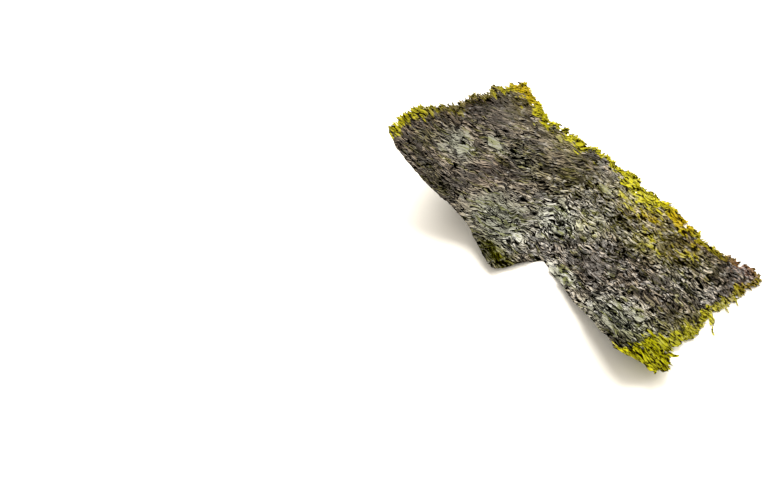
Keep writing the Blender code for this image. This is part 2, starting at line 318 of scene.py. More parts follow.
# creases of painted shade, dark lines drawn in the colour
CREASE_SETS = ((600, 8), (1000, 5), (2000, 3))  # cells 1.7, 1 and 0.5 mm across, and their lines
CREASE_STRETCH = 0.2  # they are five times as long
CREASE_WIDTH = (0.035, 0.13)  # of its dark core and its rim, as a share of the way to the next line
CREASE_LIFE = (0.5, 1.1)  # strengths of the pattern, calm and lively
CREASE_SHADE_DEPTH = (1.6, 3.4)  # how dark the creases are at these two
LAYER_STEP = 0.45  # how much lighter or darker one layer is than the next
PATTERN_BASE = -0.92
VEIN_BASE = 0.02
MOSSY_LEVELS = (0.74, 0.8)  # about one fleck in four
MOSSY_STRENGTH = 0.8
DULL_LEVELS = (0.15, 0.45)  # from quite dull to the gloss of oil
LEAF_DULL = 0.6
SEE_THROUGH = 0.55
BUMP_HEIGHT = 0.0001  # metres
OIL_IOR = 1.45

# Colours of the body and of the thin leaf, from dark to light with the two ends first, and their tints. The
# body's near black is reached in its painted crease shade, and its light grey end is partly a painted sheen
# on the oiled flakes
BODY_STOPS = [(0.0, "#010100"), (1.0, "#d6d6cc"), (0.25, "#0a0602"), (0.5, "#2c251a"), (0.75, "#888476")]
LEAF_STOPS = [(0.1, "#1e1602"), (1.0, "#f8f08c"), (0.3, "#564608"), (0.5, "#a6a20a"), (0.75, "#e2de28")]
MOSS = "#bcc450"
# painted sheen: the blue-tinged grey of light off the oiled, lively flakes
SHEEN_GREY = "#e2eeee"
VIOLET_BROWN = "#e8cfc6"
BODY_GREEN = "#bccc30"
BODY_BROWN = "#d08a62"
LEAF_GREEN = "#ccd060"
LEAF_ORANGE = "#ffd068"
LEAF_BROWN = "#8a5c40"
TABLE_WHITE = "#f6f6f4"
TABLE_ROUGH = 0.9

# Table, light and camera, in metres
TABLE_HALF = 4.0
ROOM_COLOUR = "#fff6e8"
ROOM_STRENGTH = 1.0
LAMP_COLOUR = "#fffaf0"
LAMP_ANGLE = 0.7  # radians that a soft lamp spans
# Each lamp has a name, the direction of its light and its strength
LAMPS = (("key", (0.470, -0.438, -0.766), 4.7), ("fill", (-0.316, -0.664, -0.674), 1.5))
CAMERA_PLACE = Vector((191.59, -247.27, 360.80)) * MM
CAMERA_AIM = Vector((-29.82, -40.79, 0)) * MM
CAMERA_LENS = 85  # millimetres, as the sensor's width
CAMERA_SENSOR = 36
CAMERA_CLIP = 0.01

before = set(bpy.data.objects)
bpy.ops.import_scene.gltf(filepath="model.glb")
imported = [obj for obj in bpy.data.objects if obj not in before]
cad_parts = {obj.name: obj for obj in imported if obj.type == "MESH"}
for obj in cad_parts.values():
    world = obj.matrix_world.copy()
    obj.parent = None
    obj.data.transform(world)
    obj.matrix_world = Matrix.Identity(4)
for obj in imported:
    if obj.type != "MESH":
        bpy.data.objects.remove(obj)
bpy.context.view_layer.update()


def smooth_step(value):
    """0 below 0, 1 above 1, and between them 3t² - 2t³, a smooth S."""
    t = np.clip(value, 0, 1)
    return t * t * (3 - 2 * t)


def bump(along, middle, reach):
    """A bell: e to the power of minus the square of the distance from the middle over the reach."""
    return np.exp(-(((along - middle) / reach) ** 2))


def patches(x, y, size_x, size_y, seed):
    """Smooth random heights from -1 to 1: seeded values on a lattice, blended between the four corners of
    a cell by the smooth S along x and along y."""
    lattice = np.random.default_rng(seed).uniform(-1, 1, (LATTICE, LATTICE))
    u = x / size_x + LATTICE / 2
    v = y / size_y + LATTICE / 2
    i = np.floor(u).astype(int) % LATTICE
    j = np.floor(v).astype(int) % LATTICE
    next_i = (i + 1) % LATTICE
    next_j = (j + 1) % LATTICE
    fu = smooth_step(u - np.floor(u))
    fv = smooth_step(v - np.floor(v))
    near = lattice[i, j] * (1 - fu) + lattice[next_i, j] * fu
    far = lattice[i, next_j] * (1 - fu) + lattice[next_i, next_j] * fu
    return near * (1 - fv) + far * fv


def layers(x, y, patterns):
    """The sum of a few smooth random patterns, each times its own strength."""
    return sum(
        strength * patches(x, y, along, across, seed) for along, across, strength, seed in patterns
    )


def creases(x, y, size_x, size_y, seed):
    """Ridge lines: 1 less twice the size of the random heights, so 1 where these cross zero, down to -1."""
    return 1 - 2 * np.abs(patches(x, y, size_x, size_y, seed))


def flakes(x, y, size_x, size_y, tilt, seed):
    """Flat flakes laid side by side. Each point belongs to the nearest of a lattice of shifted centres, and
    its height is its distance from that centre along x and along y, each times a random lean of -1 to 1
    and the tilt. Returns the height in metres and the flake's random number."""
    draw = np.random.default_rng(seed)
    centre_u, centre_v, lean_u, lean_v, lot = draw.uniform(0, 1, (5, LATTICE, LATTICE))
    u = x / size_x + LATTICE / 2
    v = y / size_y + LATTICE / 2
    nearest = np.full(u.shape, np.inf)
    height = np.zeros(u.shape)
    number = np.zeros(u.shape)
    for step_i in (-1, 0, 1):
        for step_j in (-1, 0, 1):
            cell_i = np.floor(u) + step_i
            cell_j = np.floor(v) + step_j
            i = cell_i.astype(int) % LATTICE
            j = cell_j.astype(int) % LATTICE
            away_u = u - cell_i - centre_u[i, j]
            away_v = v - cell_j - centre_v[i, j]
            distance = np.hypot(away_u, away_v)
            closer = distance < nearest
            nearest = np.where(closer, distance, nearest)
            plane = away_u * size_x * (2 * lean_u[i, j] - 1) + away_v * size_y * (2 * lean_v[i, j] - 1)
            height = np.where(closer, plane * tilt, height)
            number = np.where(closer, lot[i, j], number)
    return height, number


def fray(along, depth, spacing, seed):
    """A jagged line about 0: straight runs between seeded points, with finer ones on top."""
    draw = np.random.default_rng(seed)
    knots = np.arange(-LENGTH, LENGTH, spacing)
    fine_knots = np.arange(-LENGTH, LENGTH, spacing * FINE_TEETH)
    coarse = np.interp(along, knots, draw.uniform(-depth, depth, len(knots)))
    fine = np.interp(along, fine_knots, draw.uniform(-depth, depth, len(fine_knots)))
    return coarse * (1 - FINE_TEETH) + fine * FINE_TEETH


def bays(along, spans):
    """The sum of a few bells along a side, each with its middle, its reach and its depth."""
    return sum(depth * bump(along, middle, reach) for middle, reach, depth in spans)


def cut_side(x):
    """Y of the cut side: a straight line, plus its bay, plus the missing splinter, which deepens along a
    smooth S and then tapers off in a straight line, plus the loss at the worn corner, along an S."""
    blunt = smooth_step((x - SPLINTER_START) / (SPLINTER_DEEPEST - SPLINTER_START))
    taper = np.clip((SPLINTER_END - x) / (SPLINTER_END - SPLINTER_DEEPEST), 0, 1)
    worn = CORNER_LOSS * smooth_step((x - CORNER_LOSS_START) / (LENGTH / 2 - CORNER_LOSS_START))
    return -WIDTH / 2 + bays(x, CUT_SIDE_BAYS) + SPLINTER_DEPTH * blunt * taper + worn


def frill_side(x):
    """Y of the frayed long side: a straight line less its bays."""
    return WIDTH / 2 - bays(x, FRILL_SIDE_BAYS)


def curled_end(y):
    """X of the end that curls up: a straight line plus its bays."""
    return -LENGTH / 2 + bays(y, CURLED_END_BAYS)


def flat_end(y):
    """X of the end that lies on the table: a straight line less its bays."""
    return LENGTH / 2 - bays(y, FLAT_END_BAYS)


def distances(x, y):
    """Distance into the sheet from its cut side, its frayed side, its flat end and its curled end."""
    return (
        y - cut_side(x) - fray(x, *CUT_FRAY),
        frill_side(x) + fray(x, *FRILL_FRAY) - y,
        flat_end(y) + fray(y, *FLAT_END_FRAY) - x,
        x - curled_end(y) - fray(y, *CURLED_END_FRAY),
    )


def along_splinter(x):
    """1 beside the splinter and 0 elsewhere, rising and falling as a smooth S at its two ends."""
    return smooth_step((x - SPLINTER_DEEPEST) / FOLD_RISE) * smooth_step((SPLINTER_END - x) / FOLD_FALL)


def curl(x, y):
    """Height of the large form: a power of the distance past the start of the curl, times a height that
    falls from the cut side to the frayed one, plus a power of the distance past the start of the upturn,
    times a height that has a bell, the arch, along the sheet."""
    across = np.clip(y / WIDTH + 0.5, 0, 1)
    end_height = CURL_HEIGHT_AT_CUT + (CURL_HEIGHT_AT_FRILL - CURL_HEIGHT_AT_CUT) * across**CURL_SKEW
    end = end_height * np.clip((CURL_START - x) / CURL_REACH, 0, None) ** CURL_POWER
    side_height = UPTURN_HEIGHT + ARCH_HEIGHT * bump(x, ARCH_MIDDLE, ARCH_REACH)
    side = side_height * np.clip((UPTURN_START - y) / UPTURN_REACH, 0, None) ** UPTURN_POWER
    return end + side


def relief(x, y):
    """Height of the waves, plus the ridges of the blisters, plus a bell across the fold at the splinter."""
    height = layers(x, y, WAVES)
    for along, across, high, seed in BLISTERS:
        height = height + high * creases(x, y, along, across, seed)
    across_fold = bump(y - cut_side(x), FOLD_OFFSET, FOLD_WIDTH)
    return height + FOLD_HEIGHT * along_splinter(x) * across_fold


def on_table(height):
    """Heights below TABLE_EASE fall off as an exponential to just under 0, and those lie flat at 0."""
    below = np.clip(TABLE_EASE - height, 0, None)
    eased = TABLE_EASE - TABLE_PRESS * TABLE_EASE * (1 - np.exp(-below / TABLE_EASE))
    return np.maximum(np.where(below > 0, eased, height), 0)


def solid_height(x, y):
    """Height of the solid's lower face before it is laid on the table."""
    return curl(x, y) + relief(x, y) + CLEARANCE


def bells(x, y, places):
    """One oval bell for each place, with its middle, its reach along and across, and its strength: e to
    the power of minus the squares of the two distances over their reaches."""
    return [
        strength * np.exp(-(((x / MM - a) / reach_x) ** 2) - ((y / MM - b) / reach_y) ** 2)
        for a, b, reach_x, reach_y, strength in places
    ]


def zone(x, y, places):
    """The strongest of a few oval bells."""
    return np.max(bells(x, y, places), axis=0)


def band(along, stations):
    """Width of the thin border at a place along its side, straight between its stations, in metres."""
    places, widths = np.transpose(stations)
    return np.interp(along / MM, places, widths) * MM


def outline(x, y):
    """Positive inside the torn sheet and negative outside: the distance from the nearest side, with
    random nibbles added. In the border it is below 0 where random heights are low, which opens the holes
    of the lace, and in the body it is below 0 within each pinhole."""
    cut, frill, flat, curled = distances(x, y)
    torn = np.minimum(np.minimum(frill, flat), curled)
    torn = torn + layers(x, y, NIBBLES)
    clean = cut + layers(x, y, CUT_NIBBLES)
    open_share = LACE_SHARE * np.clip(1 - torn / LACE_BAND, 0, 1)
    lace = (patches(x, y, LACE_SIZE, LACE_SIZE, LACE_SEED) + LACE_CLOSED - open_share) * LACE_SIZE / 2
    inside = np.minimum(np.minimum(torn, clean), lace)
    for hole_x, hole_y, radius in PINHOLES:
        inside = np.minimum(inside, np.hypot(x - hole_x, y - hole_y) - radius)
    return inside


def trimmed_grid():
    """A square grid whose points next to the outline are moved onto it, to where the straight line between
    the levels of two neighbours crosses 0. Returns their x and y, and which of them belong to the sheet
    and hang together with its middle."""
    xs = np.arange(-LENGTH / 2 - MARGIN, LENGTH / 2 + MARGIN * 2, PITCH)
    ys = np.arange(-WIDTH / 2 - MARGIN, WIDTH / 2 + MARGIN, PITCH)
    x, y = np.meshgrid(xs, ys, indexing="ij")
    level = outline(x, y)
    move = np.zeros((*x.shape, 2))
    shortest = np.full(x.shape, np.inf)
    columns, rows = x.shape
    for step_i, step_j in ((1, 0), (0, 1), (1, 1), (1, -1)):
        for side in (1, -1):
            i, j = step_i * side, step_j * side
            here = (slice(max(0, -i), columns - max(0, i)), slice(max(0, -j), rows - max(0, j)))
            there = (slice(max(0, i), columns - max(0, -i)), slice(max(0, j), rows - max(0, -j)))
            crosses = level[here] * level[there] < 0
            gap = np.where(crosses, level[here] - level[there], 1)
            share = np.where(crosses, level[here] / gap, 1)
            length = share * np.hypot(i, j)
            better = crosses & (share <= MOVED_AT_MOST) & (length < shortest[here])
            shortest[here] = np.where(better, length, shortest[here])
            for axis, step in ((0, i), (1, j)):
                move[(*here, axis)] = np.where(better, share * step * PITCH, move[(*here, axis)])
    on_edge = np.isfinite(shortest)
    kept = (level > 0) | on_edge
    joined = np.zeros(x.shape, bool)
    joined[columns // 2, rows // 2] = True
    count = 0
    while joined.sum() > count:
        count = joined.sum()
        for _ in range(GROWTH_STEPS):
            grown = joined.copy()
            grown[1:] |= joined[:-1]
            grown[:-1] |= joined[1:]
            grown[:, 1:] |= joined[:, :-1]
            grown[:, :-1] |= joined[:, 1:]
            joined = grown & kept
    return x + move[..., 0], y + move[..., 1], joined


def triangles_of(kept):
    """Two triangles for each square of the grid whose corners are all kept, one where three are."""
    number = np.arange(kept.size).reshape(kept.shape)
    a, b = number[:-1, :-1].ravel(), number[1:, :-1].ravel()
    c, d = number[1:, 1:].ravel(), number[:-1, 1:].ravel()
    flat = kept.ravel()
    parity = ((a // kept.shape[1] + a % kept.shape[1]) % 2).astype(bool)
    whole = flat[a] & flat[b] & flat[c] & flat[d]
    split_ac = np.where(whole, parity, flat[a] & flat[c])
    first = np.where(split_ac[:, None], np.stack([a, b, c], 1), np.stack([a, b, d], 1))
    other = np.where(split_ac[:, None], np.stack([a, c, d], 1), np.stack([b, c, d], 1))
    both = np.concatenate([first, other])
    return both[flat[both].all(axis=1)]


def new_piece(name, points, faces, fields):
    """An object at the origin from points and faces. Each field has one number for each point."""
    mesh = bpy.data.meshes.new(name)
    mesh.from_pydata(points, [], faces.tolist())
    for field, values in fields.items():
        mesh.attributes.new(field, "FLOAT", "POINT").data.foreach_set("value", np.float32(values))
    mesh.shade_smooth()
    mesh.set_sharp_from_angle(angle=SHARP_ANGLE)
    piece = bpy.data.objects.new(name, mesh)
    bpy.context.scene.collection.objects.link(piece)
    return piece


def closed_sheet(name, x, y, lower, upper, triangles, fields):
    """A piece made of an upper face, a lower face and the rim that joins their edges."""
    used, renumbered = np.unique(triangles, return_inverse=True)
    triangles = renumbered.reshape(-1, 3)
    count = len(used)
    bottom = np.stack([x.ravel()[used], y.ravel()[used], lower.ravel()[used]], 1)
    top = np.stack([x.ravel()[used], y.ravel()[used], upper.ravel()[used]], 1)
    start = triangles.ravel()
    end = np.roll(triangles, -1, axis=1).ravel()
    rim = ~np.isin(start * count + end, end * count + start)
    start, end = start[rim], end[rim]
    wall = np.concatenate([
        np.stack([end, start, start + count], 1),
        np.stack([end, start + count, end + count], 1),
    ])
    faces = np.concatenate([triangles, triangles[:, ::-1] + count, wall])
    both_faces = {field: np.tile(values.ravel()[used], 2) for field, values in fields.items()}
    return new_piece(name, np.concatenate([top, bottom]), faces, both_faces)


def thin_share(x, y):
    """How thin the sheet is, from 0 in the body to 1 in its border and in the streaks inside that. The
    border is a smooth S of the distance inside its band, plus random wander. The streaks are a smooth S of
    slanting random heights, over a thin haze, times the strength of their zone."""
    _, frill, flat, curled = distances(x, y)
    wander = layers(x, y, BAND_WANDER)
    widths = (band(x, FRILL_BAND) - frill, band(y, FLAT_BAND) - flat, band(y, CURLED_BAND) - curled)
    border = smooth_step((np.max(widths, axis=0) / MM + wander) / BAND_FADE + 0.5)
    streaked = zone(x, y, STREAK_ZONES)
    streak = layers(x, y + STREAK_SLANT * x, STREAK_GRAIN)
    shown = smooth_step((streak - STREAK_LEVEL + STREAK_THINNING * (streaked - 1)) * STREAK_CONTRAST)
    streaks = np.maximum(shown, STREAK_HAZE + STREAK_HAZE_GRAIN * streak) * streaked
    return np.maximum(border, streaks)


def zones(x, y):
    """The numbers that the finish reads at each point of the sheet: how thin it is, how light, how strong
    its pattern, how rough, how much it swirls, how much painted grey sheen it has, and how far it takes
    each colour. They are weighted sums of the zones, and the lightness, partly painted light and shade,
    also has random drift, clumps, and the lighter strip and the painted fold shadow beside the splinter."""
    lively = zone(x, y, LIVELY_ZONES)
    smooth = zone(x, y, SMOOTH_ZONES)
    grey_sheen = np.clip(lively * SHEEN_OF_LIVELY - smooth - SHEEN_FROM, 0, 1)
    violet = np.maximum(zone(x, y, VIOLET_ZONES), VIOLET_OF_CALM * (1 - lively))
    thin = thin_share(x, y) * (1 - zone(x, y, DARK_BORDER_ZONES))
    drift = TONE_DRIFT * layers(x, y, DRIFT) * (1 - smooth)
    beside = y - cut_side(x) + layers(x, y, STRIP_WANDER)
    edge_strip_and_fold_shadow = bays(beside, EDGE_STRIP_AND_FOLD_SHADOW) * along_splinter(x)
    clumps = thin * layers(x, y, CLUMPS)
    # the lightness: painted light and shade of the zones, a painted sheen where it is lively, the strip and
    # painted fold shadow by the splinter, and random drift and clumps
    tone = TONE_BASE + sum(bells(x, y, LIGHT_SHADE_AND_TONE_ZONES)) + edge_strip_and_fold_shadow + drift + clumps + SHEEN_TONE_OF_LIVELY * lively
    return {
        "thin": thin,
        "tone": tone,
        "life": LIFE_BASE + LIFE_OF_LIVELY * lively + LIFE_OF_SMOOTH * smooth,
        "rough": ROUGH_BASE + ROUGH_OF_SMOOTH * smooth + ROUGH_OF_LIVELY * lively,
        "grey_sheen": grey_sheen,
        "swirl": zone(x, y, SWIRL_ZONES),
        "violet": violet * (1 - VIOLET_LOST_IN_SHEEN * grey_sheen),
        "green": zone(x, y, GREEN_ZONES),
        "orange": zone(x, y, ORANGE_ZONES),
        "brown": zone(x, y, BROWN_ZONES),
    }


def thickness_at(x, y):
    """Thickness of the sheet: a smooth S from the frayed sides to the body, less at the torn outline."""
    inward = smooth_step(np.min(distances(x, y)[1:], axis=0) / FRAYED_BAND)
    thickness = FRAYED_THICKNESS + (THICKNESS - FRAYED_THICKNESS) * inward
    return thickness * (EDGE_THIN + (1 - EDGE_THIN) * smooth_step(outline(x, y) / EDGE_TAPER))


def seaweed_sheet():
    """The solid's own height over a fine grid, plus the heights of large and small flakes and of
    wrinkles, all warped by a random pattern. The upper face is that height plus the thickness."""
    x, y, kept = trimmed_grid()
    bent_x = x + layers(x, y, WARP_X)
    bent_y = y + layers(x, y, WARP_Y)
    large, _ = flakes(bent_x, bent_y, *LARGE_FLAKES)
    small, small_lot = flakes(bent_x, bent_y, *SMALL_FLAKES)
    wrinkles = sum(
        high * creases(bent_x, bent_y, along, across, seed) for along, across, high, seed in WRINKLES
    )
    shown = zones(x, y)
    fine = (large + small + wrinkles * MM) * np.clip(shown["life"], *RELIEF_LIFE)
    lower = on_table(solid_height(x, y) + fine)
    # painted light and shade: the rises of the small flakes and wrinkles are made lighter and their dips
    # darker
    raised = np.clip(small / MM + wrinkles, -RELIEF_SEEN, RELIEF_SEEN)
    shown["tone"] = shown["tone"] + TONE_OF_FLAKE * (small_lot - 0.5) + RELIEF_LIGHT_AND_SHADE * raised
    upper = lower + thickness_at(x, y)
    triangles = triangles_of(kept)
    x, y = x - OUTLINE_MIDDLE_X, y - OUTLINE_MIDDLE_Y
    return closed_sheet("laver_sheet", x, y, lower, upper, triangles, shown)


def broad_flakes():
    """Flakes pressed flat on the sheet: the plates that stand out, then random ones, most where it is
    lively and few where it is smooth. They lie along the sheet, turned by a random pattern."""
    draw = np.random.default_rng(FLAKE_SEED)
    middle_x = draw.uniform(-LENGTH / 2, LENGTH / 2 + FLAKE_REACH_X, FLAKES_DRAWN)
    middle_y = draw.uniform(-WIDTH / 2, WIDTH / 2 + FLAKE_REACH_Y, FLAKES_DRAWN)
    chance = FLAKE_CHANCE + FLAKE_CHANCE_LIVELY * zone(middle_x, middle_y, LIVELY_ZONES)
    loss = FLAKE_LOSS_SMOOTH * zone(middle_x, middle_y, SMOOTH_ZONES)
    wanted = draw.uniform(0, 1, FLAKES_DRAWN) < chance
    wanted &= draw.uniform(0, 1, FLAKES_DRAWN) > loss
    inside = np.min(distances(middle_x, middle_y), axis=0) > FLAKE_INSET
    placed = np.flatnonzero(wanted & inside)[:FLAKES_KEPT]
    count = len(placed)
    enlarged = np.where(np.arange(count) < FLAKES_ENLARGED, FLAKE_ENLARGED, 1)
    half = draw.uniform(*FLAKE_HALF_LENGTH, count) * MM * enlarged

    plates = np.array(PLATES)
    middle_x = np.concatenate([plates[:, 0] * MM, middle_x[placed]])
    middle_y = np.concatenate([plates[:, 1] * MM, middle_y[placed]])
    long = np.concatenate([plates[:, 2] * MM, half])
    wide = np.concatenate([plates[:, 3] * MM, half * draw.uniform(*FLAKE_SLIMNESS, count)])
    lively = zone(middle_x, middle_y, LIVELY_ZONES)
    swirl = layers(middle_x, middle_y, FLAKE_SWIRL) * (FLAKE_SWIRL_CALM + FLAKE_SWIRL_LIVELY * lively)
    turn = np.concatenate([plates[:, 4], swirl[len(plates):] + draw.normal(0, FLAKE_TURN, count)])

    shown = zones(middle_x, middle_y)
    spread = FLAKE_TONE + FLAKE_TONE_LIVELY * lively
    shown["tone"] = shown["tone"] + draw.normal(0, 1, len(turn)) * spread
    # painted sheen: the plates are made light and given the full grey sheen tint
    shown["tone"][: len(plates)] = plates[:, 5] + PLATE_SHEEN_TONE
    shown["life"] = shown["life"] * draw.uniform(*FLAKE_LIFE, len(turn))
    shown["life"][: len(plates)] = PLATE_LIFE
    shown["grey_sheen"][: len(plates)] = 1
    shown["rough"][: len(plates)] = PLATE_ROUGH
    return loose_flakes("broad_flakes", middle_x, middle_y, long, wide, turn, shown, draw, FLAKE_GRID)


def border_shreds():
    """Small shreds and hairs that stick out of the frayed sides, each in a yellow green of its own. Their
    middles are random, in a strip along the outline, and those whose root is in the sheet are kept."""
    draw = np.random.default_rng(SHRED_SEED)
    x = draw.uniform(-LENGTH / 2 - MARGIN, LENGTH / 2 + 2 * MARGIN, SHREDS_DRAWN)
    y = draw.uniform(-WIDTH / 2, WIDTH / 2 + MARGIN, SHREDS_DRAWN)
    cut, *torn = distances(x, y)
    torn = np.array(torn)
    depth = np.min(torn, axis=0)
    turn = np.array(OUTWARD)[np.argmin(torn, axis=0)] + draw.normal(0, SHRED_TURN, SHREDS_DRAWN)
    long = draw.uniform(*SHRED_HALF_LENGTH, SHREDS_DRAWN) * MM
    wide = draw.uniform(*SHRED_HALF_WIDTH, SHREDS_DRAWN) * MM
    root_x = x - SHRED_ROOT * long * np.cos(turn)
    root_y = y - SHRED_ROOT * long * np.sin(turn)
    rooted = outline(root_x, root_y) > SHRED_ROOT_DEPTH
    at_border = (depth > SHRED_OUTERMOST) & (depth < SHRED_INNERMOST) & (cut > SHRED_FROM_CUT)
    placed = np.flatnonzero(rooted & at_border)
    x, y, long, wide, turn = (
        np.concatenate([hair * scale, drawn[placed]])
        for hair, scale, drawn in zip(np.transpose(HAIRS), (MM, MM, MM, MM, 1), (x, y, long, wide, turn))
    )
    shown = zones(x, y)
    shown["thin"] = np.clip(shown["thin"] + SHRED_THIN, 0, 1) * (1 - zone(x, y, DARK_BORDER_ZONES))
    shown["tone"] = draw.uniform(*SHRED_TONE, len(x))
    shown["tone"][: len(HAIRS)] = HAIR_TONE
    return loose_flakes("border_shreds", x, y, long, wide, turn, shown, draw, SHRED_GRID)


def loose_flakes(name, middle_x, middle_y, long, wide, turn, shown, draw, grid):
    """Thin flakes on the sheet. Each flake is a square grid drawn into a disc: u times the square root of
    1 less half of v squared, and the same with u and v exchanged. It is stretched, given a wavy outline of
    a few cosines that grow as the square of the radius, bent along a parabola, turned, and laid on the
    sheet's own height with a small tilt. Its lower face is the upper one moved down by its thickness."""
    rows, columns = grid
    count = len(middle_x)
    each = (count, 1, 1)
    u, v = np.meshgrid(np.linspace(-1, 1, rows), np.linspace(-1, 1, columns), indexing="ij")
    disc_u = (u * np.sqrt(1 - v**2 / 2))[None]
    disc_v = (v * np.sqrt(1 - u**2 / 2))[None]
    rim = disc_u**2 + disc_v**2
    angle = np.arctan2(disc_v, disc_u)
    wave = sum(
        draw.uniform(0, RIM_WAVE_DEPTH, each) * np.cos(k * angle + draw.uniform(0, ONE_TURN, each))
        for k in RIM_WAVES
    )
    long, wide, turn = long.reshape(each), wide.reshape(each), turn.reshape(each)
    along = long * disc_u * (1 + rim * wave)
    aside = wide * disc_v * (1 + rim * wave)
    aside = aside + draw.normal(0, FLAKE_BEND, each) * along**2 / long
    x = middle_x.reshape(each) + along * np.cos(turn) - aside * np.sin(turn)
    y = middle_y.reshape(each) + along * np.sin(turn) + aside * np.cos(turn)
    tilt_along, tilt_aside = draw.normal(0, FLAKE_TILT, (2, *each))
    lift = draw.normal(*RIM_LIFT, each) * MM * rim + draw.uniform(*FLAKE_LIFT, each) * MM
    upper = on_table(solid_height(x, y)) + thickness_at(x, y)
    upper = upper + FLAKE_ABOVE + tilt_along * along + tilt_aside * aside + lift
    upper = np.maximum(upper, FLAKE_BODY)

    number = np.arange(rows * columns).reshape(rows, columns)
    squares = [number[:-1, :-1], number[1:, :-1], number[1:, 1:], number[:-1, 1:]]
    top = np.stack(squares, -1).reshape(-1, 4)
    loop = np.concatenate([number[:-1, 0], number[-1, :-1], number[:0:-1, -1], number[0, :0:-1]])
    size = rows * columns
    after = np.roll(loop, -1)
    side = np.stack([after, loop, loop + size, after + size], 1)
    one = np.concatenate([top, top[:, ::-1] + size, side])
    faces = (one[None] + 2 * size * np.arange(count)[:, None, None]).reshape(-1, 4)
    above = np.stack([x - OUTLINE_MIDDLE_X, y - OUTLINE_MIDDLE_Y, upper], -1).reshape(count, 1, size, 3)
    below = above - np.array([0, 0, FLAKE_BODY])
    points = np.concatenate([above, below], 1).reshape(-1, 3)
    repeated = {field: np.repeat(values, 2 * size) for field, values in shown.items()}
    return new_piece(name, points, faces, repeated)


def linear(code):
    """An sRGB hex colour as linear red, green, blue and full alpha, by the sRGB curve."""
    channels = [int(code[i:i + 2], 16) / 255 for i in (1, 3, 5)]
    return (*(c / 12.92 if c <= 0.04045 else ((c + 0.055) / 1.055) ** 2.4 for c in channels), 1)


MATH = "ShaderNodeMath"
VECTOR_MATH = "ShaderNodeVectorMath"
RANGE = "ShaderNodeMapRange"  # sockets: the value, the two ends it comes from, the two it goes to
NOISE = "ShaderNodeTexNoise"
CELLS = "ShaderNodeTexVoronoi"
MAPPING = "ShaderNodeMapping"
MIX = "ShaderNodeMix"
RAMP = "ShaderNodeValToRGB"
SPLIT = "ShaderNodeSeparateColor"
GREY = (0.5, 0.5, 0.5)
TINT = {"data_type": "RGBA", "blend_type": "MULTIPLY"}  # a Mix node has its colours on sockets 6 and 7


def node(tree, kind, inputs=(), out=0, stops=(), **settings):
    """Adds a node with its settings, and returns one of its outputs, or the node if out is None. Each
    input is a value, or a socket to link. stops are the places and colours of a ramp, its ends first."""
    made = tree.nodes.new(kind)
    for name, value in settings.items():
        setattr(made, name, value)
    for name, value in dict(inputs).items():
        if isinstance(value, bpy.types.NodeSocket):
            tree.links.new(value, made.inputs[name])
        else:
            made.inputs[name].default_value = value
    for index, (place, code) in enumerate(stops):
        if index > 1:
            made.color_ramp.elements.new(place)
        made.color_ramp.elements[index].position = place
        made.color_ramp.elements[index].color = linear(code)
    return made if out is None else made.outputs[out]


def flow(tree, place, swirl):
    """The place on the sheet, bent so that flecks which follow it lie along the sheet, sway about that,
    most of all where it swirls, and lie askew towards the curled end."""
    sway = node(tree, NOISE, {"Vector": place, "Scale": SWAY_SCALE, "Detail": 1.0}, "Color")
    sway = node(tree, VECTOR_MATH, {0: sway, 1: GREY}, operation="SUBTRACT")
    far = node(tree, RANGE, {0: swirl, 3: SWAY_CALM, 4: SWAY_SWIRLING})
    sway = node(tree, VECTOR_MATH, {0: sway, "Scale": far}, operation="SCALE")
    bent = node(tree, VECTOR_MATH, {0: sway, 1: place}, operation="ADD")
    past = node(tree, "ShaderNodeSeparateXYZ", {0: place}, "X")
    past = node(tree, MATH, {0: past, 1: ASKEW_FROM}, operation="ADD")
    past = node(tree, MATH, {0: past, 1: 0.0}, operation="MINIMUM")
    askew = node(tree, MATH, {0: past, 1: ASKEW_SLOPE}, operation="MULTIPLY")
    askew = node(tree, "ShaderNodeCombineXYZ", {"Y": askew})
    return node(tree, VECTOR_MATH, {0: bent, 1: askew}, operation="ADD")


def grain(tree, bent, scale, detail=1.0):
    """Soft noise along the flow, in cells of one scale."""
    space = node(tree, MAPPING, {"Vector": bent, "Scale": scale})
    return node(tree, NOISE, {"Vector": space, "Scale": 1.0, "Detail": detail})


def folds_of(tree, bent):
    """Contour lines of three noises, and the layers between them. A noise times its number of lines is a
    stair: each whole number is a layer with a random lightness of its own, and the distance from the
    nearest whole number, up to a half, is how far it is from a line. The lines bundle where the noise is
    steep and lie far apart where it is flat. Returns the least distance and the sum of the lightnesses.

    Real creases are about 0.2 mm apart, as fine as one point of the render, so these are drawn coarser."""
    nearest = 1.0
    layered = 0.0
    for scale, lines in CREASE_SETS:
        folds = grain(tree, bent, (scale * CREASE_STRETCH, scale, scale * CREASE_STRETCH))
        folds = node(tree, MATH, {0: folds, 1: lines}, operation="MULTIPLY")
        layer = node(tree, MATH, {0: folds}, operation="FLOOR")
        layer = node(tree, "ShaderNodeTexWhiteNoise", {"W": layer}, "Value", noise_dimensions="1D")
        layered = node(tree, MATH, {0: layer, 1: LAYER_STEP, 2: layered}, operation="MULTIPLY_ADD")
        line = node(tree, MATH, {0: folds, 1: 0.5}, operation="PINGPONG")
        nearest = node(tree, MATH, {0: line, 1: nearest}, operation="MINIMUM")
    return nearest, layered


